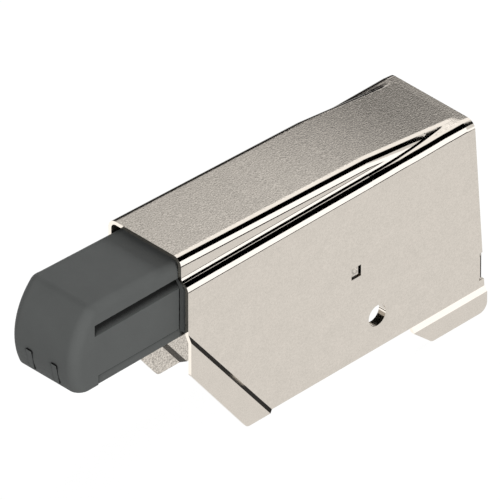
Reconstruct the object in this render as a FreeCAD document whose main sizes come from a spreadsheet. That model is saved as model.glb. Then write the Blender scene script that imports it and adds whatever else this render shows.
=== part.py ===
import FreeCAD, Part
import math
import os
import Sketcher

# Soft close damper that straddles a concealed hinge arm. Millimetres, +Z up.
# X runs from the plunger's nose (-X) to the rear of the housing (+X), and Y across the sheet walls.
# The origin is the bottom centre of the whole part: Z is 0 at the lower edge of the rear flaps.
# Heights named drop are measured down from the line where the walls run into the roof bend,
# and lengths named reach are measured back from the front edge of the housing.
driving_sizes = {
    "housing_width": 15.0,
    "sheet_thickness": 0.5,
    "wall_height": 24.5,
    "top_reach": 49.7,
    "rear_reach": 51.5,
    "bend_radius": 1.28,
    "ridge_step": 1.22,
    "ridge_height": 4.54,
    "ridge_edge_radius": 1.28,
    "roof_slope": 2.3,
    "ridge_knee_reach": 32.0,
    "ridge_end_reach": 48.3,
    "step_fillet_radius": 0.66,
    "flap_step": 0.5,
    "flap_ramp": 0.6,
    "front_fold_drop": 6.1,
    "front_fold_reach": 14.4,
    "front_edge_drop": 12.0,
    "front_cut_reach": 9.6,
    "flap_corner_radius": 1.0,
    "rear_flap_depth": 3.4,
    "rear_flap_reach": 38.7,
    "rear_flap_lip": 0.7,
    "rear_flap_toe_reach": 41.8,
    "rear_corner_radius": 1.3,
    "tab_drop": 19.7,
    "tab_height": 3.3,
    "tab_inset": 1.25,
    "tab_bend_radius": 0.8,
    "tab_relief": 0.4,
    "square_hole_side": 1.65,
    "square_hole_reach": 29.0,
    "square_hole_drop": 11.3,
    "cross_bore_diameter": 3.0,
    "cross_bore_reach": 32.7,
    "cross_bore_drop": 19.6,
    "collar_depth": 1.2,
    "collar_wall": 0.4,
    "nose_reach": 17.8,
    "plunger_side_gap": 0.18,
    "plunger_roof_gap": 0.75,
    "plunger_floor_drop": 7.65,
    "plunger_tail_reach": 18.0,
    "nose_radius": 10.0,
    "nose_center_rise": 4.0,
    "nose_side_radius": 1.5,
    "top_edge_radius": 1.3,
    "groove_start": 14.1,
    "groove_rise": 1.4,
    "groove_depth": 1.1,
    "groove_height": 1.65,
    "rebate_start": 13.5,
    "rebate_height": 1.4,
    "rebate_depth": 0.15,
    "pip_width": 0.9,
    "pip_height": 2.9,
    "pip_spacing": 4.3,
    "pip_rise": 0.5,
    "pip_stand": 0.15,
    "pip_root": 1.0,
    "rail_clearance": 0.2,
    "carrier_running_gap": 0.25,
    "carrier_wall_gap": 0.15,
    "carrier_drop": 6.3,
    "carrier_front_gap": 0.2,
    "bulkhead_reach": 39.6,
    "bulkhead_length": 5.4,
    "bulkhead_roof_gap": 0.5,
    "bulkhead_roof_half_width": 4.6,
    "damper_drop": 2.15,
    "tube_diameter": 7.4,
    "tube_wall": 0.5,
    "stroke": 13.0,
    "stroke_end_gap": 0.4,
    "piston_rest_gap": 0.4,
    "tube_tail_gap": 0.5,
    "fit_clearance": 0.05,
    "plug_length": 3.0,
    "o_ring_section": 0.8,
    "rod_diameter": 1.6,
    "piston_length": 3.0,
    "piston_clip_thickness": 0.5,
    "piston_ring_width": 1.0,
    "piston_ring_depth": 0.6,
    "valve_disc_thickness": 0.3,
    "ring_land": 0.6,
    "guide_length": 3.4,
    "seal_length": 1.6,
    "washer_thickness": 0.5,
    "foam_length": 3.0,
    "retaining_ring_wire": 0.5,
    "spring_radius": 3.0,
    "spring_wire": 0.6,
    "spring_turns": 8.0,
    "seat_thickness": 0.7,
    "seat_margin": 0.6,
    "seat_hub_length": 1.2,
    "anchor_radius": 1.7,
    "anchor_flange_radius": 2.4,
    "anchor_flange_thickness": 0.8,
    "rod_clip_thickness": 0.5,
    "rod_clip_radius": 1.9,
    "clip_seat_depth": 0.2,
    "rod_end": 0.6,
    "clip_gap_angle": 60.0,
}

doc = FreeCAD.newDocument("soft_close_damper")
sheet = doc.addObject("Spreadsheet::Sheet", "sizes")
for row, (alias, number) in enumerate(driving_sizes.items(), start=1):
    sheet.set("A%d" % row, alias)
    sheet.set("B%d" % row, str(number))
    sheet.setAlias("B%d" % row, alias)
doc.recompute()


# A size knows its number and the expression that gives it from the sheet.
class Size:
    def __init__(self, number, text):
        self.number = number
        self.text = text

    def __add__(self, other):
        other = as_size(other)
        return Size(self.number + other.number, "(%s + %s)" % (self.text, other.text))

    def __sub__(self, other):
        other = as_size(other)
        return Size(self.number - other.number, "(%s - %s)" % (self.text, other.text))

    def __mul__(self, other):
        other = as_size(other)
        return Size(self.number * other.number, "(%s * %s)" % (self.text, other.text))

    def __truediv__(self, other):
        other = as_size(other)
        return Size(self.number / other.number, "(%s / %s)" % (self.text, other.text))

    def __neg__(self):
        return Size(-self.number, "(-1 * %s)" % self.text)


def as_size(value):
    if isinstance(value, Size):
        return value
    return Size(float(value), repr(float(value)))


class Sheet:
    def __getattr__(self, alias):
        return Size(float(sheet.get(alias)), "sizes." + alias)


def tangent(angle):
    return Size(math.tan(math.radians(angle.number)), "tan(%s)" % angle.text)


def root(size):
    return Size(math.sqrt(size.number), "sqrt(%s)" % size.text)


d = Sheet()
nothing = as_size(0)
full_turn = as_size(360)
vector = FreeCAD.Vector

# The frame: the front edge of the housing, and the line where the walls meet the roof bend.
front_x = (d.nose_reach - d.rear_reach) / 2
datum_z = d.wall_height + d.rear_flap_depth

# The plunger and the damper slide along X. Their pieces are drawn from the damper's axis at the front edge.
axis_z = datum_z - d.damper_drop


def make_body(label):
    body = doc.addObject("PartDesign::Body", label)
    body.Label = label
    body.setExpression("Placement.Base.x", front_x.text)
    body.setExpression("Placement.Base.z", axis_z.text)
    return body


def sketch_on(body, role, name, offset=None):
    plane = [feature for feature in body.Origin.OriginFeatures if feature.Role == role][0]
    sketch = body.newObject("Sketcher::SketchObject", name)
    sketch.AttachmentSupport = (plane, [""])
    sketch.MapMode = "FlatFace"
    if offset is not None:
        sketch.setExpression("AttachmentOffset.Base.z", offset.text)
    return sketch


def hold(sketch, kind, geometry, point, size):
    index = sketch.addConstraint(Sketcher.Constraint(kind, -1, 1, geometry, point, size.number))
    sketch.setExpression("Constraints[%d]" % index, size.text)


def add_outline(sketch, corners):
    first = sketch.GeometryCount
    count = len(corners)
    places = [vector(across.number, up.number, 0) for across, up in corners]
    for index in range(count):
        sketch.addGeometry(Part.LineSegment(places[index], places[(index + 1) % count]))
    for index, (across, up) in enumerate(corners):
        following = first + (index + 1) % count
        sketch.addConstraint(Sketcher.Constraint("Coincident", first + index, 2, following, 1))
        hold(sketch, "DistanceX", first + index, 1, across)
        hold(sketch, "DistanceY", first + index, 1, up)


def add_circle(sketch, across, up, radius):
    middle = vector(across.number, up.number, 0)
    circle = sketch.addGeometry(Part.Circle(middle, vector(0, 0, 1), radius.number))
    hold(sketch, "DistanceX", circle, 3, across)
    hold(sketch, "DistanceY", circle, 3, up)
    index = sketch.addConstraint(Sketcher.Constraint("Radius", circle, radius.number))
    sketch.setExpression("Constraints[%d]" % index, radius.text)


# A turned piece: its outline is given as places along the axis and radii.
def turned(label, outline, angle=None):
    body = make_body(label)
    section = sketch_on(body, "XZ_Plane", label + "_section")
    add_outline(section, outline)
    return turn_section(body, section, angle)


def turn_section(body, section, angle=None):
    turn = body.newObject("PartDesign::Revolution", body.Label + "_turn")
    turn.Profile = section
    turn.ReferenceAxis = (section, ["H_Axis"])
    turn.setExpression("Angle", (angle or full_turn).text)
    return body


def ring(label, start, end, inner, outer, angle=None):
    return turned(label, [(start, inner), (end, inner), (end, outer), (start, outer)], angle)


def padded(body, sketch, name, length, side="One side"):
    pad = body.newObject("PartDesign::Pad", name)
    pad.Profile = sketch
    pad.SideType = side
    pad.setExpression("Length", length.text)
    return pad


def pocketed(body, sketch, name, length, reversed_way=False):
    doc.recompute()
    before = body.Shape.Volume
    pocket = body.newObject("PartDesign::Pocket", name)
    pocket.Profile = sketch
    pocket.Reversed = reversed_way
    pocket.setExpression("Length", length.text)
    doc.recompute()
    if body.Shape.Volume >= before:
        raise RuntimeError(name + " cut nothing")
    return pocket


# Closed wire through corners (x, z, corner radius), at the given Y.
def rounded_wire(corners, y):
    edges = []
    ends = []
    count = len(corners)
    for index, (x, z, radius) in enumerate(corners):
        corner = vector(x, y, z)
        if radius == 0:
            ends.append((corner, corner))
            continue
        before = vector(corners[index - 1][0], y, corners[index - 1][1]) - corner
        after = vector(corners[(index + 1) % count][0], y, corners[(index + 1) % count][1]) - corner
        before.normalize()
        after.normalize()
        half = before.getAngle(after) / 2
        inward = before + after
        inward.normalize()
        start = corner + before * (radius / math.tan(half))
        end = corner + after * (radius / math.tan(half))
        middle = corner + inward * (radius / math.sin(half) - radius)
        edges.append((index, Part.Arc(start, middle, end).toShape()))
        ends.append((start, end))
    arcs = dict(edges)
    ordered = []
    for index in range(count):
        if index in arcs:
            ordered.append(arcs[index])
        ordered.append(Part.LineSegment(ends[index][1], ends[(index + 1) % count][0]).toShape())
    return Part.Wire(ordered)


def plate(corners, y, thickness):
    return Part.Face(rounded_wire(corners, y)).extrude(vector(0, thickness, 0))


def both_sides(shape):
    return [shape, shape.mirror(vector(0, 0, 0), vector(0, 1, 0))]


# How the roof's loft is divided: cross-sections along the ridge's tail, the turn in radians of the short flat
# that stands for the ridge's side there, and the stops that cut the plain roof into as many runs.
tail_steps = 5
short_flat_turn = 0.02
flat_stops = (1, 0.5, 0.4, 0)


# One skin of the folded sheet, as a solid block: lofted through cross-sections of the walls and roof.
# The inset is 0 for the outer skin and the sheet's thickness for the inner one.
def formed_block(inset, overrun, bottom):
    half_width = d.housing_width.number / 2
    ridge_half = half_width - d.ridge_step.number
    bend_radius = d.bend_radius.number
    edge_radius = d.ridge_edge_radius.number
    fillet_radius = d.step_fillet_radius.number
    knee_reach = d.ridge_knee_reach.number
    end_reach = d.ridge_end_reach.number
    fall = math.tan(math.radians(d.roof_slope.number))
    knee_height = d.ridge_height.number - knee_reach * fall
    bend_center = (half_width - bend_radius, 0)
    edge_y = ridge_half - edge_radius

    def on_arc(center, radius, start, end):
        turns = (start, (start + end) / 2, end)
        return [(center[0] + radius * math.cos(turn), center[1] + radius * math.sin(turn)) for turn in turns]

    # The hollow fillet between the wall's bend and the ridge: against the ridge's upright side where there
    # is one, and against the ridge's rounded edge where the ridge is too low for that.
    def fillet_center(edge_center):
        reach = bend_radius + fillet_radius
        upright_y = ridge_half + fillet_radius
        upright_z = math.sqrt(reach ** 2 - (upright_y - bend_center[0]) ** 2)
        if edge_center[1] >= upright_z:
            return (upright_y, upright_z)
        apart = math.dist(edge_center, bend_center)
        edge_span = edge_radius + fillet_radius
        along = (edge_span ** 2 - reach ** 2 + apart ** 2) / (2 * apart)
        off = math.sqrt(edge_span ** 2 - along ** 2)
        unit = ((bend_center[0] - edge_center[0]) / apart, (bend_center[1] - edge_center[1]) / apart)
        return (edge_center[0] + along * unit[0] - off * unit[1], edge_center[1] + along * unit[1] + off * unit[0])

    # Four runs up one side: the wall's bend, the hollow fillet, the ridge's side and its rounded edge.
    # The side shrinks to a short flat where the fillet runs straight into the edge.
    def ridge_side(top):
        edge_center = (edge_y, top - edge_radius)
        center = fillet_center(edge_center)
        bend_turn = math.atan2(center[1] - bend_center[1], center[0] - bend_center[0])
        edge_turn = max(0, math.atan2(center[1] - edge_center[1], center[0] - edge_center[0]))
        if center[1] <= edge_center[1]:
            edge_turn = 0
        bend = on_arc(bend_center, bend_radius - inset, 0, bend_turn)
        fillet = on_arc(center, fillet_radius + inset, bend_turn - math.pi, edge_turn - math.pi - short_flat_turn)
        edge = on_arc(edge_center, edge_radius - inset, edge_turn + short_flat_turn, math.pi / 2)
        return [bend, fillet, [fillet[2], edge[0]], edge]

    # Behind the ridge the roof is flat from bend to bend.
    def plain_side():
        bend = on_arc(bend_center, bend_radius - inset, 0, math.pi / 2)
        stops = [(edge_y + (bend_center[0] - edge_y) * share, bend[2][1]) for share in flat_stops]
        return [bend] + [[start, end] for start, end in zip(stops, stops[1:])]

    def section(reach, runs):
        x = front_x.number + reach

        def place(point, side):
            return vector(x, side * point[0], datum_z.number + point[1])

        def run_edge(points):
            if len(points) == 2:
                return Part.LineSegment(points[0], points[1]).toShape()
            return Part.Arc(points[0], points[1], points[2]).toShape()

        foot = (half_width - inset, bottom)
        right = [[foot, runs[0][0]]] + runs
        edges = [run_edge([place(point, 1) for point in run]) for run in right]
        edges.append(run_edge([place(runs[-1][-1], 1), place(runs[-1][-1], -1)]))
        left = [list(reversed(run)) for run in reversed(right)]
        edges += [run_edge([place(point, -1) for point in run]) for run in left]
        edges.append(run_edge([place(foot, -1), place(foot, 1)]))
        return Part.Wire(edges)

    # The hollow fillet reaches the flat of the roof at this ridge height, and fades out from there.
    shoulder_rise = math.sqrt((edge_radius + fillet_radius) ** 2 - (bend_center[0] - edge_y) ** 2)
    fade_height = bend_radius + fillet_radius - shoulder_rise + edge_radius
    tail_fall = (knee_height - bend_radius) / (end_reach - knee_reach)
    fade_reach = knee_reach + (knee_height - fade_height) / tail_fall
    stations = [section(-overrun, ridge_side(d.ridge_height.number + overrun * fall))]
    for step in range(tail_steps + 1):
        reach = knee_reach + (fade_reach - knee_reach) * step / tail_steps
        stations.append(section(reach, ridge_side(knee_height - (reach - knee_reach) * tail_fall)))
    stations.append(section(end_reach, plain_side()))
    stations.append(section(d.rear_reach.number + overrun, plain_side()))
    return Part.makeLoft(stations, True, True)


# A joggled flap strip: sheet that leaves the wall along a fold line and steps out by the flap's step.
# The fold runs from one point to another in the wall's plane, and the flap lies to its downward side.
def joggled_strip(fold_from, fold_to, flap_length, wall_overlap):
    along = (fold_to - fold_from).normalize()
    across = vector(0, 1, 0).cross(along)
    if across.z > 0:
        across = across * -1
    thick = d.sheet_thickness.number
    step = d.flap_step.number
    ramp = d.flap_ramp.number
    wall_outer = d.housing_width.number / 2
    crease = thick * math.tan(math.atan(step / ramp) / 2)
    outline = [
        (-wall_overlap, wall_outer - thick),
        (-wall_overlap, wall_outer),
        (0, wall_outer),
        (ramp, wall_outer + step),
        (flap_length, wall_outer + step),
        (flap_length, wall_outer + step - thick),
        (ramp + crease, wall_outer + step - thick),
        (crease, wall_outer - thick),
    ]
    start = fold_from - along * flap_length
    length = (fold_to - fold_from).Length + 2 * flap_length
    points = [start + across * depth + vector(0, y, 0) for depth, y in outline]
    face = Part.Face(Part.makePolygon(points + points[:1]))
    return face.extrude(along * length)


def make_housing():
    thick = d.sheet_thickness.number
    wall_outer = d.housing_width.number / 2
    flap_outer = wall_outer + d.flap_step.number
    bottom = -d.wall_height.number
    rear = d.rear_reach.number
    top_reach = d.top_reach.number
    overrun = d.housing_width.number
    span = 2 * overrun
    lean = (rear - top_reach) / d.wall_height.number

    def at(reach, up):
        return vector(front_x.number + reach, 0, datum_z.number + up)

    def corners(points):
        placed = []
        for reach, up, radius in points:
            place = at(reach, up)
            placed.append((place.x, place.z, radius))
        return placed

    shell = formed_block(0, 0, bottom).cut(formed_block(thick, 1, bottom - overrun))

    # The rear edge leans back from the roof to the foot of the wall.
    behind = plate(corners([
        (top_reach - lean * overrun, overrun, 0),
        (rear + lean * overrun, bottom - overrun, 0),
        (rear + span, bottom - overrun, 0),
        (rear + span, overrun, 0),
    ]), -overrun, span)

    # The front lower corner of each wall is cut away along the diagonal fold.
    fold_top = at(0, -d.front_fold_drop.number)
    fold_foot = at(d.front_fold_reach.number, bottom)
    slope = (fold_foot - fold_top).normalize()
    upper = fold_top - slope * overrun
    lower = fold_foot + slope * overrun
    below = plate([
        (upper.x, upper.z, 0),
        (lower.x, lower.z, 0),
        (upper.x - span, lower.z, 0),
        (upper.x - span, upper.z, 0),
    ], -overrun, span)
    shell = shell.cut(behind).cut(below)

    overlap = d.flap_ramp.number
    corner = d.flap_corner_radius.number
    front_outline = plate(corners([
        (0, 0, 0),
        (0, -d.front_edge_drop.number, corner / 2),
        (d.front_cut_reach.number, bottom, corner),
        (d.front_fold_reach.number + corner, bottom, 0),
        (d.front_fold_reach.number + corner, 0, 0),
    ]), 0, flap_outer)
    front_flap = joggled_strip(fold_top, fold_foot, overrun, overlap).common(front_outline)

    flap_bottom = bottom - d.rear_flap_depth.number
    rear_fold = [at(d.rear_flap_reach.number, bottom), at(rear, bottom)]
    rear_outline = plate(corners([
        (d.rear_flap_reach.number, bottom + overlap, 0),
        (d.rear_flap_reach.number, bottom - d.rear_flap_lip.number, 0),
        (d.rear_flap_toe_reach.number, flap_bottom, corner),
        (rear, flap_bottom, d.rear_corner_radius.number),
        (rear, bottom, 0),
        (rear - lean * overlap, bottom + overlap, 0),
    ]), 0, flap_outer)
    rear_flap = joggled_strip(rear_fold[0], rear_fold[1], overrun, overlap).common(rear_outline)

    # The tab is bent inward from the rear edge, between two relief cuts.
    tab_top = -d.tab_drop.number
    tab_bottom = tab_top - d.tab_height.number
    relief = d.tab_relief.number
    bend = d.tab_bend_radius.number
    edge_reach = rear + lean * (bottom - tab_bottom)
    notch = plate(corners([
        (edge_reach - bend, tab_top + relief, 0),
        (edge_reach - bend, tab_bottom - relief, 0),
        (edge_reach + overrun, tab_bottom - relief, 0),
        (edge_reach + overrun, tab_top + relief, 0),
    ]), -overrun, span)
    foot = at(edge_reach, tab_bottom)
    bend_center = vector(foot.x - bend, wall_outer - bend, foot.z)
    diagonal = vector(math.cos(math.pi / 4), math.sin(math.pi / 4), 0)
    tip_y = wall_outer - d.tab_inset.number
    outside = [
        bend_center + vector(0, bend, 0),
        bend_center + diagonal * bend,
        bend_center + vector(bend, 0, 0),
    ]
    inside = [
        bend_center + vector(bend - thick, 0, 0),
        bend_center + diagonal * (bend - thick),
        bend_center + vector(0, bend - thick, 0),
    ]
    tip = [vector(foot.x, tip_y, foot.z), vector(foot.x - thick, tip_y, foot.z)]
    root = [outside[0] - vector(relief, 0, 0), inside[2] - vector(relief, 0, 0)]
    tab_edges = [
        Part.Arc(*outside).toShape(),
        Part.LineSegment(outside[2], tip[0]).toShape(),
        Part.LineSegment(tip[0], tip[1]).toShape(),
        Part.LineSegment(tip[1], inside[0]).toShape(),
        Part.Arc(*inside).toShape(),
        Part.LineSegment(inside[2], root[1]).toShape(),
        Part.LineSegment(root[1], root[0]).toShape(),
        Part.LineSegment(root[0], outside[0]).toShape(),
    ]
    tab = Part.Face(Part.Wire(tab_edges)).extrude(vector(0, 0, d.tab_height.number))

    bore_radius = d.cross_bore_diameter.number / 2
    bore_place = at(d.cross_bore_reach.number, -d.cross_bore_drop.number)
    collar_foot = bore_place + vector(0, wall_outer - d.collar_depth.number, 0)
    collar_outer = bore_radius + d.collar_wall.number
    collar_length = d.collar_depth.number - thick / 2
    collar = Part.makeCylinder(collar_outer, collar_length, collar_foot, vector(0, 1, 0))

    shell = shell.cut(notch)
    added = both_sides(front_flap) + both_sides(rear_flap) + both_sides(tab) + both_sides(collar)
    shell = shell.fuse(added)

    bore = Part.makeCylinder(bore_radius, span, bore_place - vector(0, overrun, 0), vector(0, 1, 0))
    half_hole = d.square_hole_side.number / 2
    hole_reach = d.square_hole_reach.number
    hole_up = -d.square_hole_drop.number
    square_hole = plate(corners([
        (hole_reach - half_hole, hole_up - half_hole, 0),
        (hole_reach + half_hole, hole_up - half_hole, 0),
        (hole_reach + half_hole, hole_up + half_hole, 0),
        (hole_reach - half_hole, hole_up + half_hole, 0),
    ]), -overrun, span)
    return shell.cut(bore).cut(square_hole).removeSplitter()


housing = doc.addObject("Part::Feature", "housing")
housing.Label = "housing"
housing.Shape = make_housing()

# The plunger: a padded side view with a round nose, a bore for the damper, and a groove along each side.
# Its top falls towards the rear like the roof above it.
plunger_top = d.ridge_height - d.sheet_thickness - d.plunger_roof_gap + d.damper_drop
plunger_floor = d.damper_drop - d.plunger_floor_drop
plunger_tail = d.plunger_tail_reach
plunger_half = d.housing_width / 2 - d.ridge_step - d.sheet_thickness - d.plunger_side_gap
top_fall = tangent(d.roof_slope)
tail_top = plunger_top - plunger_tail * top_fall
nose_center_x = d.nose_radius + d.pip_stand - d.nose_reach
nose_center_z = plunger_floor + d.nose_center_rise

# The crown, where the nose meets the falling top, and the chin, where it meets the floor.
top_above_center = plunger_top - nose_center_z
crown_scale = top_fall * top_fall + 1
crown_half_sum = nose_center_x + top_fall * top_above_center
crown_product = nose_center_x * nose_center_x + top_above_center * top_above_center - d.nose_radius * d.nose_radius
crown_x = (crown_half_sum - root(crown_half_sum * crown_half_sum - crown_scale * crown_product)) / crown_scale
crown_z = plunger_top - crown_x * top_fall
chin_x = nose_center_x - root(d.nose_radius * d.nose_radius - d.nose_center_rise * d.nose_center_rise)

plunger = make_body("plunger")
side_view = sketch_on(plunger, "XZ_Plane", "plunger_side_view")


def sketch_place(across, up):
    return vector(across.number, up.number, 0)


nose_center = sketch_place(nose_center_x, nose_center_z)
crown_turn = math.atan2(crown_z.number - nose_center.y, crown_x.number - nose_center.x)
chin_turn = math.atan2(-d.nose_center_rise.number, chin_x.number - nose_center.x) + 2 * math.pi
nose_circle = Part.Circle(nose_center, vector(0, 0, 1), d.nose_radius.number)
nose_arc = side_view.addGeometry(Part.ArcOfCircle(nose_circle, crown_turn, chin_turn))
chin = sketch_place(chin_x, plunger_floor)
tail_foot = sketch_place(plunger_tail, plunger_floor)
tail_head = sketch_place(plunger_tail, tail_top)
floor_line = side_view.addGeometry(Part.LineSegment(chin, tail_foot))
tail_line = side_view.addGeometry(Part.LineSegment(tail_foot, tail_head))
top_line = side_view.addGeometry(Part.LineSegment(tail_head, sketch_place(crown_x, crown_z)))
loop = [nose_arc, floor_line, tail_line, top_line]
for index, line in enumerate(loop):
    side_view.addConstraint(Sketcher.Constraint("Coincident", line, 2, loop[(index + 1) % len(loop)], 1))
side_view.addConstraint(Sketcher.Constraint("Horizontal", floor_line))
side_view.addConstraint(Sketcher.Constraint("Vertical", tail_line))
hold(side_view, "DistanceX", nose_arc, 3, nose_center_x)
hold(side_view, "DistanceY", nose_arc, 3, nose_center_z)
radius_index = side_view.addConstraint(Sketcher.Constraint("Radius", nose_arc, d.nose_radius.number))
side_view.setExpression("Constraints[%d]" % radius_index, d.nose_radius.text)
hold(side_view, "DistanceX", tail_line, 1, plunger_tail)
hold(side_view, "DistanceY", tail_line, 1, plunger_floor)
hold(side_view, "DistanceY", tail_line, 2, tail_top)
hold(side_view, "DistanceX", top_line, 2, crown_x)
block = padded(plunger, side_view, "plunger_block", plunger_half * 2, "Symmetric")
doc.recompute()


# Edges of a body's block that lie on its side faces and pass a test on their middle point.
def side_edges(feature, half_width, accept):
    names = []
    for index, edge in enumerate(feature.Shape.Edges, start=1):
        on_side = all(abs(abs(corner.Point.y) - half_width) < 1e-6 for corner in edge.Vertexes)
        middle = edge.valueAt((edge.FirstParameter + edge.LastParameter) / 2)
        if on_side and abs(abs(middle.y) - half_width) < 1e-6 and accept(edge, middle):
            names.append("Edge%d" % index)
    return names


nose_edges = side_edges(block, plunger_half.number, lambda edge, middle: len(edge.Vertexes) == 2
                        and edge.Curve.TypeId == "Part::GeomCircle")
nose_round = plunger.newObject("PartDesign::Fillet", "plunger_nose_round")
nose_round.Base = (block, nose_edges)
nose_round.setExpression("Radius", d.nose_side_radius.text)
doc.recompute()
top_edges = side_edges(nose_round, plunger_half.number,
                       lambda edge, middle: middle.z > 0 and edge.Curve.TypeId == "Part::GeomLine")
top_round = plunger.newObject("PartDesign::Fillet", "plunger_top_round")
top_round.Base = (nose_round, top_edges)
top_round.setExpression("Radius", d.top_edge_radius.text)

groove_top = d.damper_drop + d.groove_rise
groove_floor = plunger_half - d.groove_depth
groove_foot = groove_top - d.groove_height
groove_mouth = plunger_half + d.groove_depth
groove_length = plunger_tail + d.groove_start
for side, name in ((1, "plunger_groove_left"), (-1, "plunger_groove_right")):
    groove = sketch_on(plunger, "YZ_Plane", name, -d.groove_start)
    add_outline(groove, [
        (groove_floor * side, groove_top),
        (groove_mouth * side, groove_top),
        (groove_mouth * side, groove_foot),
        (plunger_half * side, groove_foot),
    ])
    pocketed(plunger, groove, name + "_cut", groove_length, True)

# A shallow rebate runs along the foot of each side, and two low pips stand on the nose.
for side, name in ((1, "plunger_rebate_left"), (-1, "plunger_rebate_right")):
    rebate = sketch_on(plunger, "YZ_Plane", name, -d.rebate_start)
    add_outline(rebate, [
        ((plunger_half - d.rebate_depth) * side, plunger_floor - d.rebate_depth),
        ((plunger_half - d.rebate_depth) * side, plunger_floor + d.rebate_height),
        ((plunger_half + d.rebate_depth) * side, plunger_floor + d.rebate_height),
        ((plunger_half + d.rebate_depth) * side, plunger_floor - d.rebate_depth),
    ])
    pocketed(plunger, rebate, name + "_cut", plunger_tail + d.rebate_start, True)


def nose_face(rise):
    below = d.nose_center_rise - rise
    return nose_center_x - root(d.nose_radius * d.nose_radius - below * below)


pip_top = d.pip_rise + d.pip_height
for side, name in ((1, "plunger_pip_left"), (-1, "plunger_pip_right")):
    pip = sketch_on(plunger, "XZ_Plane", name, d.pip_spacing / 2 * side)
    add_outline(pip, [
        (nose_face(d.pip_rise) + d.pip_root, plunger_floor + d.pip_rise),
        (nose_face(pip_top) + d.pip_root, plunger_floor + pip_top),
        (nose_face(pip_top) - d.pip_stand, plunger_floor + pip_top),
        (nose_face(d.pip_rise) - d.pip_stand, plunger_floor + d.pip_rise),
    ])
    padded(plunger, pip, name + "_rib", d.pip_width, "Symmetric")

tube_outer = d.tube_diameter / 2
tube_inner = tube_outer - d.tube_wall
tube_rear = plunger_tail - d.tube_tail_gap

# Places along the damper's axis at rest, from the tube's rear end forward: the closure, the piston pushed
# back against it, and the stroke that the piston has left before it meets the plug.
ring_wire = d.retaining_ring_wire
ring_rear = tube_rear - d.ring_land
ring_front = ring_rear - ring_wire
guide_front = ring_front - d.guide_length
seal_front = guide_front - d.seal_length
washer_front = seal_front - d.washer_thickness
foam_front = washer_front - d.foam_length
disc_rear = foam_front - d.piston_rest_gap
piston_rear = disc_rear - d.valve_disc_thickness
piston_front = piston_rear - d.piston_length
clip_front = piston_front - d.piston_clip_thickness
rod_tip = clip_front - d.rod_end
plug_rear = rod_tip - d.stroke - d.stroke_end_gap
tube_front = plug_rear - d.plug_length
plunger_bore = sketch_on(plunger, "YZ_Plane", "plunger_bore", tube_front)
add_circle(plunger_bore, nothing, nothing, tube_outer + d.fit_clearance)
pocketed(plunger, plunger_bore, "plunger_bore_cut", plunger_tail - tube_front, True)

# The guide carrier: a bulkhead that holds the rod, and side plates whose rails run in the plunger's grooves.
carrier = make_body("guide_carrier")
carrier_outer = d.housing_width / 2 - d.sheet_thickness - d.carrier_wall_gap
carrier_inner = plunger_half + d.carrier_running_gap
carrier_foot = d.damper_drop - d.carrier_drop
carrier_top = d.damper_drop - d.carrier_wall_gap
bulkhead_rear = d.bulkhead_reach + d.bulkhead_length
tail_fall = (d.ridge_height - d.ridge_knee_reach * tangent(d.roof_slope) - d.bend_radius) \
    / (d.ridge_end_reach - d.ridge_knee_reach)
roof_at_bulkhead = d.bend_radius + (d.ridge_end_reach - bulkhead_rear) * tail_fall - d.sheet_thickness
bulkhead_top = roof_at_bulkhead + d.damper_drop - d.bulkhead_roof_gap
bulkhead = sketch_on(carrier, "YZ_Plane", "carrier_bulkhead", d.bulkhead_reach)
add_outline(bulkhead, [
    (-carrier_outer, carrier_foot),
    (carrier_outer, carrier_foot),
    (carrier_outer, carrier_top),
    (d.bulkhead_roof_half_width, bulkhead_top),
    (-d.bulkhead_roof_half_width, bulkhead_top),
    (-carrier_outer, carrier_top),
])
padded(carrier, bulkhead, "carrier_bulkhead_block", d.bulkhead_length)

rail_top = groove_top - d.rail_clearance
groove_lean = d.groove_depth / d.groove_height
rail_tip = groove_floor + d.rail_clearance * 2
rail_foot = rail_top - (carrier_inner - rail_tip) / groove_lean
rail_shoulder = carrier_inner - d.carrier_wall_gap
side_plates = sketch_on(carrier, "YZ_Plane", "carrier_side_plates", d.carrier_front_gap)
for side in (1, -1):
    add_outline(side_plates, [
        (carrier_inner * side, carrier_foot),
        (carrier_outer * side, carrier_foot),
        (carrier_outer * side, carrier_top),
        (rail_shoulder * side, rail_top),
        (rail_tip * side, rail_top),
        (carrier_inner * side, rail_foot),
    ])
padded(carrier, side_plates, "carrier_side_plate_pair", d.bulkhead_reach - d.carrier_front_gap)
anchor_hole = sketch_on(carrier, "YZ_Plane", "carrier_anchor_hole", d.bulkhead_reach)
add_circle(anchor_hole, nothing, nothing, d.anchor_radius)
pocketed(carrier, anchor_hole, "carrier_anchor_hole_cut", d.bulkhead_length, True)

# The cylinder: a tube closed at the front by a plug and at the rear by a ring in a groove.
rod_radius = d.rod_diameter / 2
ring_groove = tube_inner + ring_wire / 2
turned("damper_tube", [
    (tube_front, tube_inner),
    (ring_front, tube_inner),
    (ring_front, ring_groove),
    (ring_rear, ring_groove),
    (ring_rear, tube_inner),
    (tube_rear, tube_inner),
    (tube_rear, tube_outer),
    (tube_front, tube_outer),
])

plug_middle = tube_front + d.plug_length / 2
o_ring_radius = d.o_ring_section / 2
o_ring_half_room = o_ring_radius + d.fit_clearance
plug_radius = tube_inner - d.fit_clearance
o_ring_floor = tube_inner - d.o_ring_section - d.fit_clearance * 2
turned("tube_end_plug", [
    (tube_front, nothing),
    (plug_rear, nothing),
    (plug_rear, plug_radius),
    (plug_middle + o_ring_half_room, plug_radius),
    (plug_middle + o_ring_half_room, o_ring_floor),
    (plug_middle - o_ring_half_room, o_ring_floor),
    (plug_middle - o_ring_half_room, plug_radius),
    (tube_front, plug_radius),
])
o_ring = make_body("plug_o_ring")
o_ring_section = sketch_on(o_ring, "XZ_Plane", "plug_o_ring_section")
add_circle(o_ring_section, plug_middle, tube_inner - d.fit_clearance - o_ring_radius, o_ring_radius)
turn_section(o_ring, o_ring_section)

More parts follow.
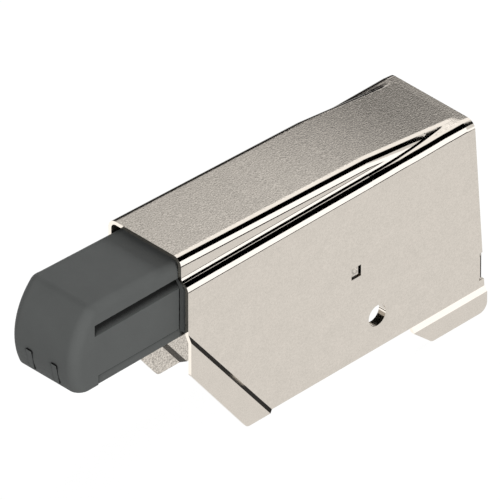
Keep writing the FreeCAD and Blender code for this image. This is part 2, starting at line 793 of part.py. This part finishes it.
ring("tube_retaining_ring", ring_front, ring_rear, tube_inner - ring_wire / 2, ring_groove - d.fit_clearance,
     full_turn - d.clip_gap_angle)
rod_hole = rod_radius + d.fit_clearance
closure_radius = tube_inner - d.fit_clearance
ring("rod_guide", guide_front, ring_front, rod_hole, closure_radius)
lip_depth = d.seal_length / 2
lip_width = (closure_radius - rod_hole) / 4
turned("rod_seal", [
    (seal_front, rod_hole),
    (guide_front, rod_hole),
    (guide_front, closure_radius),
    (seal_front, closure_radius),
    (seal_front, closure_radius - lip_width),
    (seal_front + lip_depth, closure_radius - lip_width * 1.5),
    (seal_front + lip_depth, rod_hole + lip_width * 1.5),
    (seal_front, rod_hole + lip_width),
])
ring("seal_support_washer", washer_front, seal_front, rod_hole + d.fit_clearance, closure_radius)
ring("compensation_foam", foam_front, washer_front, rod_hole + d.rail_clearance, closure_radius)

# The piston on its rod: a clip, the piston with its ring, and the disc that lifts on the way back.
piston_middle = (piston_front + piston_rear) / 2
ring_half = d.piston_ring_width / 2
piston_radius = tube_inner - d.rail_clearance
piston_groove = piston_radius - d.piston_ring_depth
turned("piston", [
    (piston_front, rod_radius),
    (piston_rear, rod_radius),
    (piston_rear, piston_radius),
    (piston_middle + ring_half, piston_radius),
    (piston_middle + ring_half, piston_groove),
    (piston_middle - ring_half, piston_groove),
    (piston_middle - ring_half, piston_radius),
    (piston_front, piston_radius),
])
ring("piston_ring", piston_middle - ring_half, piston_middle + ring_half, piston_groove,
     tube_inner - d.fit_clearance)
ring("valve_disc", piston_rear, disc_rear, rod_radius, piston_groove)
clip_seat = rod_radius - d.clip_seat_depth
ring("piston_clip", clip_front, piston_front, clip_seat, rod_radius * 2, full_turn - d.clip_gap_angle)

rod_clip_front = bulkhead_rear
rod_clip_rear = rod_clip_front + d.rod_clip_thickness
rod_rear = rod_clip_rear + d.rod_end
turned("piston_rod", [
    (rod_tip, nothing),
    (rod_rear, nothing),
    (rod_rear, rod_radius),
    (rod_clip_rear, rod_radius),
    (rod_clip_rear, clip_seat),
    (rod_clip_front, clip_seat),
    (rod_clip_front, rod_radius),
    (piston_front, rod_radius),
    (piston_front, clip_seat),
    (clip_front, clip_seat),
    (clip_front, rod_radius),
    (rod_tip, rod_radius),
])
flange_front = d.bulkhead_reach - d.anchor_flange_thickness
turned("rod_anchor", [
    (flange_front, rod_radius),
    (bulkhead_rear, rod_radius),
    (bulkhead_rear, d.anchor_radius),
    (d.bulkhead_reach, d.anchor_radius),
    (d.bulkhead_reach, d.anchor_flange_radius),
    (flange_front, d.anchor_flange_radius),
])
ring("rod_clip", rod_clip_front, rod_clip_rear, clip_seat, d.rod_clip_radius, full_turn - d.clip_gap_angle)

# The return spring between its two seats.
wire_radius = d.spring_wire / 2
hub_radius = d.spring_radius - wire_radius - d.rail_clearance
seat_rear = plunger_tail + d.seat_thickness
front_seat_radius = tube_outer + d.seat_margin
rear_seat_radius = d.spring_radius + d.seat_margin
turned("front_spring_seat", [
    (plunger_tail, rod_hole + d.rail_clearance),
    (seat_rear + d.seat_hub_length, rod_hole + d.rail_clearance),
    (seat_rear + d.seat_hub_length, hub_radius),
    (seat_rear, hub_radius),
    (seat_rear, front_seat_radius),
    (plunger_tail, front_seat_radius),
])
rear_seat_front = d.bulkhead_reach - d.seat_thickness
ring("rear_spring_seat", rear_seat_front, d.bulkhead_reach, d.anchor_flange_radius + d.fit_clearance,
     rear_seat_radius)
spring = make_body("return_spring")
spring_section = sketch_on(spring, "XZ_Plane", "return_spring_section")
spring_start = seat_rear + wire_radius + d.fit_clearance
spring_room = rear_seat_front - wire_radius - d.fit_clearance - spring_start
add_circle(spring_section, spring_start, d.spring_radius, wire_radius)
doc.recompute()
coil = spring.newObject("PartDesign::AdditiveHelix", "return_spring_coil")
coil.Profile = spring_section
coil.ReferenceAxis = (spring_section, ["H_Axis"])
coil.Mode = "height-turns-angle"
coil.setExpression("Height", spring_room.text)
coil.setExpression("Turns", d.spring_turns.text)
doc.recompute()

for thing in doc.Objects:
    if "Invalid" in thing.State or "Error" in thing.State:
        raise RuntimeError(thing.Label + " failed: " + ", ".join(thing.State))
sub_parts = [thing for thing in doc.Objects if thing.TypeId in ("PartDesign::Body", "Part::Feature")]
for sub_part in sub_parts:
    shape = sub_part.Shape
    if shape.isNull() or not shape.isValid() or len(shape.Solids) != 1:
        raise RuntimeError(sub_part.Label + " is not one valid solid")

os.makedirs("parts", exist_ok=True)
for sub_part in sub_parts:
    sub_part.Shape.exportStep(os.path.join("parts", sub_part.Label + ".step"))
    box = sub_part.Shape.BoundBox
    print("%s volume %.2f box %.2f..%.2f %.2f..%.2f %.2f..%.2f" % (
        sub_part.Label, sub_part.Shape.Volume, box.XMin, box.XMax, box.YMin, box.YMax, box.ZMin, box.ZMax))
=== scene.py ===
import math

import bmesh
import bpy
from mathutils import Matrix, Vector


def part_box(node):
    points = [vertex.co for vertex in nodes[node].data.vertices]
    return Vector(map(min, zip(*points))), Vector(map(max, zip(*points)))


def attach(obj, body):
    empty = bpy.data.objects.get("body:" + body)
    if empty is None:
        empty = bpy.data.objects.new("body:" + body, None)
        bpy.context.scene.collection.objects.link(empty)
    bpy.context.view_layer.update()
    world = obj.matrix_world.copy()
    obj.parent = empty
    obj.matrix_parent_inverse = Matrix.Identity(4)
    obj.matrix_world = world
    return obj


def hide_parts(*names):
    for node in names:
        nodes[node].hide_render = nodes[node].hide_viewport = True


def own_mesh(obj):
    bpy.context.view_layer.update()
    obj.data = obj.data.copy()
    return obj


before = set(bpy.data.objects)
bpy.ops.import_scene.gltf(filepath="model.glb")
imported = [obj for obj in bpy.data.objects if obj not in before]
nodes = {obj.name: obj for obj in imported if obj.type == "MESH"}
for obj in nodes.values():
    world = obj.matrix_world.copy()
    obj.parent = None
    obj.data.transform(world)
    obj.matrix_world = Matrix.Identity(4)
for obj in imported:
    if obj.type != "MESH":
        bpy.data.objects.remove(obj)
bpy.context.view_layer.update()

mm = 0.001
kneePlace = 15.15             # mm along X, where the roof's two slopes meet
print("frame loaded:", len(nodes), "pieces")


def hexColor(text):
    channels = [int(text[i:i + 2], 16) / 255 for i in (1, 3, 5)]
    return [c / 12.92 if c <= 0.04045 else ((c + 0.055) / 1.055) ** 2.4 for c in channels] + [1.0]


# an input is a number, a socket, or a node, which gives its first output
def addNode(tree, kind, inputs=None, **settings):
    node = tree.nodes.new(kind)
    for name, value in settings.items():
        setattr(node, name, value)
    for name, value in (inputs or {}).items():
        if isinstance(value, bpy.types.Node):
            value = value.outputs[0]
        if isinstance(value, bpy.types.NodeSocket):
            tree.links.new(value, node.inputs[name])
        else:
            node.inputs[name].default_value = value
    return node


def startMaterial(name):
    material = bpy.data.materials.new(name)
    material.use_nodes = True
    material.node_tree.nodes.clear()
    return material, material.node_tree


def endMaterial(tree, shader):
    addNode(tree, "ShaderNodeOutputMaterial", {"Surface": shader})


def objectPoint(tree, stretch=(1, 1, 1)):
    place = addNode(tree, "ShaderNodeTexCoord")
    return addNode(tree, "ShaderNodeMapping", {"Vector": place.outputs["Object"], "Scale": stretch})


def cellsPerMetre(size):
    return 1 / (size * mm)


# nickel plate on cold rolled strip: satin with a sparkling rolling grain on the roof, smoother on the walls,
# burnished to a mirror on the bends, where the folding tool has slid over it, and coarser inside, where the
# colour also carries painted shade
nickel = {
    "pale": "#D6CEC4",
    "dull": "#CCC5BB",
    "roughness": {"bend": 0.05, "roof": 0.13, "wall": 0.1},
    "roofFlat": (0.978, 0.99),    # upward part of the normal, from a bend to the flat roof
    "wallFlat": (0.99, 0.998),    # sideways part of the normal, from a bend to a flat wall
    "kneeReach": 10.0,        # mm, how far to each side the shading eases the knee
    "kneeBend": 4.57,         # degrees between the slopes
    "clouds": 2.6,            # mm, faint clouds in the plating
    "grain": 0.19,            # mm, drawn coarser than the real grain so that it shows
    "grainDepth": 0.011,      # mm
    "grainShade": {"bend": 0, "roof": 0.8, "wall": 0.2},
    "insideFrom": 1.0,        # mm, faces that look at the middle plane from farther off are inner ones
    "insideGrain": 0.9,       # added to the grain's shade on the inner faces
    "insidePaintedShade": 0.85,      # what is left of the colour under the painted shade there
}


# turns the roof's normals near the knee, so that the two slopes meet there without a hard line
def easeKnee(tree, point, normal, sides):
    reach = nickel["kneeReach"]
    along = addNode(tree, "ShaderNodeSeparateXYZ", {0: point})
    past = addNode(tree, "ShaderNodeMath", {
        0: along.outputs["X"], 1: cellsPerMetre(reach), 2: -kneePlace / reach}, operation="MULTIPLY_ADD")
    away = addNode(tree, "ShaderNodeMath", {0: past}, operation="ABSOLUTE")
    close = addNode(tree, "ShaderNodeMath", {0: 1.0, 1: away}, operation="SUBTRACT", use_clamp=True)
    side = addNode(tree, "ShaderNodeMath", {0: past}, operation="SIGN")
    upward = addNode(tree, "ShaderNodeMath", {0: sides.outputs["Z"], 1: 0.0}, operation="MAXIMUM")
    share = addNode(tree, "ShaderNodeMath", {0: side, 1: close}, operation="MULTIPLY")
    share = addNode(tree, "ShaderNodeMath", {0: share, 1: upward}, operation="MULTIPLY")
    halfBend = math.tan(math.radians(nickel["kneeBend"])) / 2
    tilt = addNode(tree, "ShaderNodeMath", {0: share, 1: -halfBend}, operation="MULTIPLY")
    lean = addNode(tree, "ShaderNodeCombineXYZ", {"X": tilt})
    leaned = addNode(tree, "ShaderNodeVectorMath", {0: normal, 1: lean}, operation="ADD")
    return addNode(tree, "ShaderNodeVectorMath", {0: leaned}, operation="NORMALIZE")


def makeNickel():
    material, tree = startMaterial("nickelPlateOnRolledSteel")
    point = objectPoint(tree)
    normal = addNode(tree, "ShaderNodeTexCoord").outputs["Normal"]
    sides = addNode(tree, "ShaderNodeSeparateXYZ", {0: normal})
    across = addNode(tree, "ShaderNodeMath", {0: sides.outputs["Y"]}, operation="ABSOLUTE")
    roof = addNode(tree, "ShaderNodeMapRange", {
        "Value": sides.outputs["Z"], "From Min": nickel["roofFlat"][0], "From Max": nickel["roofFlat"][1]},
        interpolation_type="SMOOTHSTEP")
    wall = addNode(tree, "ShaderNodeMapRange", {
        "Value": across, "From Min": nickel["wallFlat"][0], "From Max": nickel["wallFlat"][1]},
        interpolation_type="SMOOTHSTEP")

    def byPlace(values):
        bend = values["bend"]
        onRoof = addNode(tree, "ShaderNodeMath", {
            0: roof, 1: values["roof"] - bend, 2: bend}, operation="MULTIPLY_ADD")
        return addNode(tree, "ShaderNodeMath", {
            0: wall, 1: values["wall"] - bend, 2: onRoof}, operation="MULTIPLY_ADD")

    clouds = addNode(tree, "ShaderNodeTexNoise", {
        "Vector": point, "Scale": cellsPerMetre(nickel["clouds"]), "Detail": 3.0, "Roughness": 0.55})
    color = addNode(tree, "ShaderNodeMix", {
        "Factor": clouds, "A": hexColor(nickel["dull"]), "B": hexColor(nickel["pale"])}, data_type="RGBA")
    grain = addNode(tree, "ShaderNodeTexNoise", {
        "Vector": point, "Scale": cellsPerMetre(nickel["grain"]), "Detail": 0.0})
    centred = addNode(tree, "ShaderNodeMath", {0: grain, 1: 0.5}, operation="SUBTRACT")    # its middle is 0.5
    fromMiddle = addNode(tree, "ShaderNodeSeparateXYZ", {0: point}).outputs["Y"]
    outward = addNode(tree, "ShaderNodeMath", {0: fromMiddle, 1: sides.outputs["Y"]}, operation="MULTIPLY")
    inside = addNode(tree, "ShaderNodeMath", {
        0: outward, 1: -nickel["insideFrom"] * mm}, operation="LESS_THAN")
    amount = addNode(tree, "ShaderNodeMath", {
        0: inside, 1: nickel["insideGrain"], 2: byPlace(nickel["grainShade"])}, operation="MULTIPLY_ADD")
    # painted shade: the inner faces of the walls get a darker colour
    insideShadeLevel = addNode(tree, "ShaderNodeMath", {
        0: inside, 1: nickel["insidePaintedShade"] - 1, 2: 1.0}, operation="MULTIPLY_ADD")
    shade = addNode(tree, "ShaderNodeMath", {0: centred, 1: amount, 2: insideShadeLevel}, operation="MULTIPLY_ADD")
    grained = addNode(tree, "ShaderNodeVectorMath", {
        0: color.outputs["Result"], "Scale": shade}, operation="SCALE")
    height = addNode(tree, "ShaderNodeMath", {0: grain, 1: roof}, operation="MULTIPLY")
    bump = addNode(tree, "ShaderNodeBump", {
        "Height": height, "Distance": nickel["grainDepth"] * mm,
        "Normal": easeKnee(tree, point, normal, sides)})
    shader = addNode(tree, "ShaderNodeBsdfPrincipled", {
        "Base Color": grained, "Metallic": 1.0, "Roughness": byPlace(nickel["roughness"]), "Normal": bump})
    endMaterial(tree, shader)
    return material


# glass filled nylon, moulded in a spark eroded tool: an even matt grey with a very fine pebble, and painted
# shade deep in its own grooves and corners
nylon = {
    "light": "#656766",
    "dark": "#5C5E5D",
    "roughness": (0.48, 0.6),
    "ior": 1.53,
    "sheen": 0.1,             # the pebble scatters most of it
    "pebble": 0.14,           # mm, drawn coarser than the real texture so that it shows
    "pebbleDepth": 0.0012,    # mm
    "flow": 4.0,              # mm, flow marks in the colour
    "paintedShadeReach": 2.6,       # mm, how far the painted shade reaches from a corner
    "cornerSamples": 16,
    "cornerOpen": (0.82, 0.975),    # open share of the surroundings, from deep in a corner to clear of it
    "cornerShade": 0.06,      # what is left of the colour deep in a corner, under the painted shade
}


def makeNylon():
    material, tree = startMaterial("glassFilledNylonMoulded")
    point = objectPoint(tree)
    flow = addNode(tree, "ShaderNodeTexNoise", {
        "Vector": point, "Scale": cellsPerMetre(nylon["flow"]), "Detail": 4.0, "Roughness": 0.6})
    color = addNode(tree, "ShaderNodeMix", {
        "Factor": flow, "A": hexColor(nylon["dark"]), "B": hexColor(nylon["light"])}, data_type="RGBA")
    # painted shade: the colour is darkened where the plunger's own grooves and corners hide the surroundings
    corners = addNode(tree, "ShaderNodeAmbientOcclusion", {
        "Distance": nylon["paintedShadeReach"] * mm}, samples=nylon["cornerSamples"], only_local=True)
    depth = addNode(tree, "ShaderNodeMapRange", {
        "Value": corners.outputs["AO"], "From Min": nylon["cornerOpen"][0],
        "From Max": nylon["cornerOpen"][1], "To Min": nylon["cornerShade"]})
    shaded = addNode(tree, "ShaderNodeVectorMath", {
        0: color.outputs["Result"], "Scale": depth}, operation="SCALE")
    pebble = addNode(tree, "ShaderNodeTexNoise", {
        "Vector": point, "Scale": cellsPerMetre(nylon["pebble"]), "Detail": 2.0})
    bump = addNode(tree, "ShaderNodeBump", {"Height": pebble, "Distance": nylon["pebbleDepth"] * mm})
    rough = addNode(tree, "ShaderNodeMapRange", {
        "Value": pebble, "To Min": nylon["roughness"][0], "To Max": nylon["roughness"][1]})
    shader = addNode(tree, "ShaderNodeBsdfPrincipled", {
        "Base Color": shaded, "Roughness": rough, "IOR": nylon["ior"],
        "Specular IOR Level": nylon["sheen"], "Normal": bump})
    endMaterial(tree, shader)
    return material


# drawn metals: a bright skin with fine lines along the draw, spaced by line in mm
drawnMetals = {
    "drawnAluminium": {"light": "#D9DBDD", "dark": "#C4C7CA", "roughness": (0.16, 0.3), "line": 0.09},
    "drawnSpringSteel": {"light": "#C9C9C8", "dark": "#A9AAAC", "roughness": (0.1, 0.24), "line": 0.07},
}
drawLength = 4.0              # mm, how long a draw line runs before it fades


def makeDrawnMetal(name):
    look = drawnMetals[name]
    material, tree = startMaterial(name)
    point = objectPoint(tree, (look["line"] / drawLength, 1, 1))
    lines = addNode(tree, "ShaderNodeTexNoise", {
        "Vector": point, "Scale": cellsPerMetre(look["line"]), "Detail": 3.0})
    color = addNode(tree, "ShaderNodeMix", {
        "Factor": lines, "A": hexColor(look["dark"]), "B": hexColor(look["light"])}, data_type="RGBA")
    rough = addNode(tree, "ShaderNodeMapRange", {
        "Value": lines, "To Min": look["roughness"][1], "To Max": look["roughness"][0]})
    shader = addNode(tree, "ShaderNodeBsdfPrincipled", {
        "Base Color": color.outputs["Result"], "Metallic": 1.0, "Roughness": rough})
    endMaterial(tree, shader)
    return material


# natural acetal, turned or moulded: waxy off-white that lets a little light in
acetal = {
    "light": "#ECE9E0",
    "dark": "#DEDACE",
    "roughness": 0.34,
    "ior": 1.48,
    "cloud": 1.8,             # mm
    "glow": 0.12,
    "glowReach": 0.6,         # mm
}


def makeAcetal():
    material, tree = startMaterial("naturalAcetalMoulded")
    cloud = addNode(tree, "ShaderNodeTexNoise", {
        "Vector": objectPoint(tree), "Scale": cellsPerMetre(acetal["cloud"]), "Detail": 3.0})
    color = addNode(tree, "ShaderNodeMix", {
        "Factor": cloud, "A": hexColor(acetal["dark"]), "B": hexColor(acetal["light"])}, data_type="RGBA")
    shader = addNode(tree, "ShaderNodeBsdfPrincipled", {
        "Base Color": color.outputs["Result"], "Roughness": acetal["roughness"], "IOR": acetal["ior"],
        "Subsurface Weight": acetal["glow"], "Subsurface Scale": acetal["glowReach"] * mm})
    endMaterial(tree, shader)
    return material


# rubbers: nitrile seals with a dull moulded skin, and a closed cell foam with open cut cells, sizes in mm
rubbers = {
    "nitrileRubberMoulded": {
        "light": "#2B2B2C", "dark": "#1C1C1D", "roughness": 0.62, "cell": 0.3, "depth": 0.004},
    "closedCellFoam": {
        "light": "#4A4A4C", "dark": "#262628", "roughness": 0.9, "cell": 0.25, "depth": 0.05},
}


def makeRubber(name):
    look = rubbers[name]
    material, tree = startMaterial(name)
    cells = addNode(tree, "ShaderNodeTexVoronoi", {
        "Vector": objectPoint(tree), "Scale": cellsPerMetre(look["cell"])})
    color = addNode(tree, "ShaderNodeMix", {
        "Factor": cells, "A": hexColor(look["dark"]), "B": hexColor(look["light"])}, data_type="RGBA")
    bump = addNode(tree, "ShaderNodeBump", {"Height": cells, "Distance": look["depth"] * mm})
    shader = addNode(tree, "ShaderNodeBsdfPrincipled", {
        "Base Color": color.outputs["Result"], "Roughness": look["roughness"], "Normal": bump})
    endMaterial(tree, shader)
    return material


nickelPlate = makeNickel()
greyNylon = makeNylon()
aluminium = makeDrawnMetal("drawnAluminium")
springSteel = makeDrawnMetal("drawnSpringSteel")
paleAcetal = makeAcetal()
nitrile = makeRubber("nitrileRubberMoulded")
foam = makeRubber("closedCellFoam")

finishes = {
    "housing": nickelPlate,
    "guide_carrier": greyNylon,
    "plunger": greyNylon,
    "damper_tube": aluminium,
    "tube_end_plug": paleAcetal,
    "plug_o_ring": nitrile,
    "piston": paleAcetal,
    "piston_ring": paleAcetal,
    "valve_disc": springSteel,
    "piston_clip": springSteel,
    "piston_rod": springSteel,
    "rod_anchor": springSteel,
    "rod_clip": springSteel,
    "rod_guide": paleAcetal,
    "rod_seal": nitrile,
    "seal_support_washer": springSteel,
    "tube_retaining_ring": springSteel,
    "compensation_foam": foam,
    "front_spring_seat": paleAcetal,
    "return_spring": springSteel,
    "rear_spring_seat": springSteel,
}
for nodeName, finish in finishes.items():
    nodes[nodeName].data.materials.clear()
    nodes[nodeName].data.materials.append(finish)
print("finishes set on", len(finishes), "pieces")


def addObject(name, work, material, smooth=True):
    mesh = bpy.data.meshes.new(name)
    for face in work.faces:
        face.smooth = smooth
    work.to_mesh(mesh)
    work.free()
    mesh.materials.append(material)
    made = bpy.data.objects.new(name, mesh)
    bpy.context.scene.collection.objects.link(made)
    return made


# return spring: round wire wound to an even coil; the real one shortens as the plunger goes in, this one is
# wound once at rest and held to the housing
spring = {
    "wire": 0.6,              # mm
    "turns": 8,
    "stepsPerTurn": 40,
    "wireSides": 14,
    "slide": "plunger_slide",
}


def makeSpring():
    low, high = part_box("return_spring")
    wireRadius = spring["wire"] * mm / 2
    middle = (low + high) / 2
    coilRadius = (high.y - low.y) / 2 - wireRadius
    steps = spring["turns"] * spring["stepsPerTurn"]
    travel = high.x - low.x - spring["wire"] * mm
    work = bmesh.new()
    wire = bmesh.ops.create_circle(work, cap_ends=True, segments=spring["wireSides"], radius=wireRadius)
    start = Matrix.Translation((low.x + wireRadius, middle.y, middle.z + coilRadius))
    bmesh.ops.transform(work, verts=wire["verts"], matrix=start @ Matrix.Rotation(math.pi / 2, 4, "X"))
    bmesh.ops.spin(
        work, geom=work.faces[:] + work.edges[:] + work.verts[:], cent=middle, axis=(1, 0, 0),
        dvec=(travel / steps, 0, 0), angle=math.tau * spring["turns"], steps=steps)
    bmesh.ops.recalc_face_normals(work, faces=work.faces)
    coil = addObject("returnSpringCoil", work, springSteel)
    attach(coil, "housing_body")
    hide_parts("return_spring")
    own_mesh(coil)


makeSpring()
print("return spring wound")

# housing: the CAD shape with its rear end turned down a little
shell = {
    "merge": 0.001,           # mm
    "foldAngle": 30,          # degrees, edges sharper than this are folds or cut edges
    "onPlane": 0.02,          # mm, an edge this near to the knee or the start of the droop lies on it
    "droopStart": 31.45,      # mm along X
    "droopSlope": 6.0,        # degrees
    "droopFoot": 26.0,        # mm, below this the walls stay
    "shoulder": 27.9,         # mm, the flat beside the ridge
}


def makeHousing():
    work = bmesh.new()
    work.from_mesh(nodes["housing"].data)
    bmesh.ops.remove_doubles(work, verts=work.verts, dist=shell["merge"] * mm)
    start = shell["droopStart"]
    bmesh.ops.bisect_plane(
        work, geom=work.verts[:] + work.edges[:] + work.faces[:],
        plane_co=(start * mm, 0, 0), plane_no=(1, 0, 0))
    for vert in work.verts:
        past = vert.co.x / mm - start
        share = (vert.co.z / mm - shell["droopFoot"]) / (shell["shoulder"] - shell["droopFoot"])
        if past > 0 and share > 0:
            vert.co.z -= past * math.tan(math.radians(shell["droopSlope"])) * min(1, share) * mm
    for edge in work.edges:
        places = [vert.co.x / mm for vert in edge.verts]
        across = any(max(abs(x - stop) for x in places) < shell["onPlane"] for stop in (kneePlace, start))
        edge.smooth = edge.calc_face_angle(0) < math.radians(shell["foldAngle"]) and not across
    made = addObject("housingShell", work, nickelPlate)
    made.modifiers.new("weightedNormals", "WEIGHTED_NORMAL").keep_sharp = True
    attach(made, "housing_body")
    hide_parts("housing")


makeHousing()
print("housing shaped")

# studio: a white paper floor, soft lamps, and cards and boards that show only in reflections
studio = {
    "paper": "#606060",
    "paperLift": 0.945,       # added where the paper is seen, so that the open floor is white
    "floorRadius": 3.0,       # m
    "floorSides": 64,
    "white": "#FFFFFF",
    "skyLight": 0.25,         # strength of the even light on matt surfaces
}


def seenRays(tree):
    rays = addNode(tree, "ShaderNodeLightPath")
    either = addNode(tree, "ShaderNodeMath", {
        0: rays.outputs["Is Camera Ray"], 1: rays.outputs["Is Glossy Ray"]}, operation="MAXIMUM")
    return addNode(tree, "ShaderNodeMath", {
        0: either, 1: rays.outputs["Is Transmission Ray"]}, operation="MAXIMUM")


# white paper from above, clear from below, so that the part can be seen from there too
def makePaper():
    material, tree = startMaterial("studioPaper")
    matt = addNode(tree, "ShaderNodeBsdfDiffuse", {"Color": hexColor(studio["paper"])})
    lift = addNode(tree, "ShaderNodeMath", {0: seenRays(tree), 1: studio["paperLift"]}, operation="MULTIPLY")
    glow = addNode(tree, "ShaderNodeEmission", {"Strength": lift})
    both = addNode(tree, "ShaderNodeAddShader", {0: matt, 1: glow})
    clear = addNode(tree, "ShaderNodeBsdfTransparent")
    back = addNode(tree, "ShaderNodeNewGeometry")
    shader = addNode(tree, "ShaderNodeMixShader", {0: back.outputs["Backfacing"], 1: both, 2: clear})
    endMaterial(tree, shader)
    return material


def makeFloor():
    work = bmesh.new()
    bmesh.ops.create_circle(work, cap_ends=True, segments=studio["floorSides"], radius=studio["floorRadius"])
    floor = addObject("studioFloor", work, makePaper(), False)
    floor.visible_glossy = False


# cards curve round the part, each mirrored in the metal as a band: angles in degrees about X, from +Y up, the
# strength at each of those angles, and the radius and the reach along X in mm
cards = {
    "blackFlag": {"angles": (98, 151), "strengths": (0, 0), "radius": 115, "reach": (45, 150)},
    "whiteCard": {"angles": (146, 209), "strengths": (1.8, 1.8), "radius": 600, "reach": (380, 528),
                  "color": "#F9FBFF"},
    "footStrip": {"angles": (207.5, 218), "strengths": (0, 0), "radius": 400, "reach": (250, 332)},
    "creamCard": {"angles": (48.5, 95), "strengths": (1.42, 1.42), "radius": 400, "reach": (230, 480)},
    "greyCard": {"angles": (41.5, 48.4), "strengths": (0.77, 0.8), "radius": 400, "reach": (230, 480)},
    "tailCard": {"angles": (33.5, 41.4), "strengths": (0.17, 0.76), "radius": 400, "reach": (230, 480)},
    "deepCard": {"angles": (28.5, 33.4), "strengths": (0.05, 0.06), "radius": 400, "reach": (230, 520)},
    "lowCard": {"angles": (15, 28.4), "strengths": (0.03, 0.05), "radius": 800, "reach": (520, 690)},
    "endCard": {"angles": (15, 28.4), "strengths": (0.03, 0.05), "radius": 400, "reach": (440, 520)},
    "farFlag": {"angles": (-8, 14.9), "strengths": (0, 0), "radius": 400, "reach": (230, 520)},
    "farCard": {"angles": (-60, -8.1), "strengths": (0.5, 0.4), "radius": 400, "reach": (230, 520)},
}
cardCentre = (0, -7, 29)      # mm
cardSteps = 16


def addBoard(name, work, material, strength, color=studio["white"]):
    tree = material.node_tree
    glow = addNode(tree, "ShaderNodeEmission", {"Color": hexColor(color), "Strength": strength})
    endMaterial(tree, glow)
    board = addObject(name, work, material, False)
    board.visible_camera = False
    board.visible_diffuse = False
    board.visible_shadow = False
    board.visible_transmission = False


def makeCard(name):
    card = cards[name]
    first, last = [math.radians(angle) for angle in card["angles"]]
    centre = Vector(cardCentre) * mm
    material, tree = startMaterial(name + "Board")
    strength, lastStrength = card["strengths"]
    if strength != lastStrength:
        place = addNode(tree, "ShaderNodeTexCoord").outputs["Object"]
        arm = addNode(tree, "ShaderNodeVectorMath", {0: place, 1: centre}, operation="SUBTRACT")
        sides = addNode(tree, "ShaderNodeSeparateXYZ", {0: arm})
        angle = addNode(tree, "ShaderNodeMath", {
            0: sides.outputs["Z"], 1: sides.outputs["Y"]}, operation="ARCTAN2")
        strength = addNode(tree, "ShaderNodeMapRange", {
            "Value": angle, "From Min": first, "From Max": last, "To Min": strength, "To Max": lastStrength})
    out = Vector((0, math.cos(first), math.sin(first))) * card["radius"] * mm
    work = bmesh.new()
    ends = [work.verts.new(Vector((x * mm, centre.y, centre.z)) + out) for x in card["reach"]]
    edge = work.edges.new(ends)
    bmesh.ops.spin(
        work, geom=ends + [edge], cent=centre, axis=(1, 0, 0), angle=last - first, steps=cardSteps)
    addBoard(name, work, material, strength, card.get("color", studio["white"]))


# flat boards, each turned to face the part, place and size in mm: a dark one low behind, seen in the front
# flap's ramp, a dark one below, seen in the far flap's ramp, a white one, seen in the cut edges, and a small
# dark one that keeps it out of the square hole
boards = {
    "rearFlag": {"strength": 0.045, "place": (300, -15, -90), "size": 190},
    "lowFlag": {"strength": 0.16, "place": (-4, -2, -40), "size": 28},
    "edgeCard": {"strength": 1.6, "place": (-300, 193, -185), "size": 180},
    "holeFlag": {"strength": 0, "place": (-47, 53, -43), "size": 12},
}
boardAim = (-6, -4, 10)       # mm


def makeBoard(name):
    board = boards[name]
    place = Vector(board["place"])
    turn = (Vector(boardAim) - place).to_track_quat("Z", "Y").to_matrix().to_4x4()
    work = bmesh.new()
    bmesh.ops.create_grid(work, size=board["size"] * mm / 2, matrix=Matrix.Translation(place * mm) @ turn)
    material = startMaterial(name + "Board")[0]
    addBoard(name, work, material, board["strength"])


def makeWorld():
    world = bpy.data.worlds.new("studioSky")
    bpy.context.scene.world = world
    world.use_nodes = True
    tree = world.node_tree
    tree.nodes.clear()
    strength = addNode(tree, "ShaderNodeMapRange", {
        "Value": seenRays(tree), "To Min": studio["skyLight"], "To Max": 1.0})
    sky = addNode(tree, "ShaderNodeBackground", {"Color": hexColor(studio["white"]), "Strength": strength})
    addNode(tree, "ShaderNodeOutputWorld", {"Surface": sky})


# soft lamps that show in no reflection: place, aim and size in mm, power in watts
lamps = {
    "keyLamp": {"place": (-240, -620, 110), "size": 200, "power": 3.0},
    "fillLamp": {"place": (-560, 60, 290), "size": 320, "power": 1.15},
    "backLamp": {"place": (600, 60, 270), "size": 260, "power": 3.0},
}
lampAim = (0, 0, 16)


def makeLamp(name):
    lamp = lamps[name]
    data = bpy.data.lights.new(name, "AREA")
    data.shape = "DISK"
    data.size = lamp["size"] * mm
    data.energy = lamp["power"]
    made = bpy.data.objects.new(name, data)
    bpy.context.scene.collection.objects.link(made)
    made.location = Vector(lamp["place"]) * mm
    made.rotation_euler = (Vector(lampAim) - Vector(lamp["place"])).to_track_quat("-Z", "Y").to_euler()
    made.visible_glossy = False


makeFloor()
for cardName in cards:
    makeCard(cardName)
for boardName in boards:
    makeBoard(boardName)
makeWorld()
for lampName in lamps:
    makeLamp(lampName)
print("studio set:", len(cards), "cards,", len(boards), "boards,", len(lamps), "lamps")

# camera: an isometric view through a very long lens
view = {
    "aim": (1.248, 0, 21.686),    # mm, at the middle of the picture
    "frame": 61.12,               # mm, width of the picture at the aim
    "lens": 1600,                 # mm
    "sensor": 36,                 # mm
    "from": (-1, -1, 1),
    "clip": (0.05, 20),           # m
}


def makeCamera():
    data = bpy.data.cameras.new("studioCamera")
    data.lens = view["lens"]
    data.sensor_width = view["sensor"]
    data.clip_start, data.clip_end = view["clip"]
    camera = bpy.data.objects.new("studioCamera", data)
    bpy.context.scene.collection.objects.link(camera)
    back = Vector(view["from"]).normalized()
    camera.location = Vector(view["aim"]) * mm + back * view["frame"] * mm * view["lens"] / view["sensor"]
    camera.rotation_euler = (-back).to_track_quat("-Z", "Y").to_euler()
    bpy.context.scene.camera = camera


makeCamera()
bpy.context.scene.view_settings.view_transform = "Standard"
print("camera set")

bpy.context.view_layer.update()
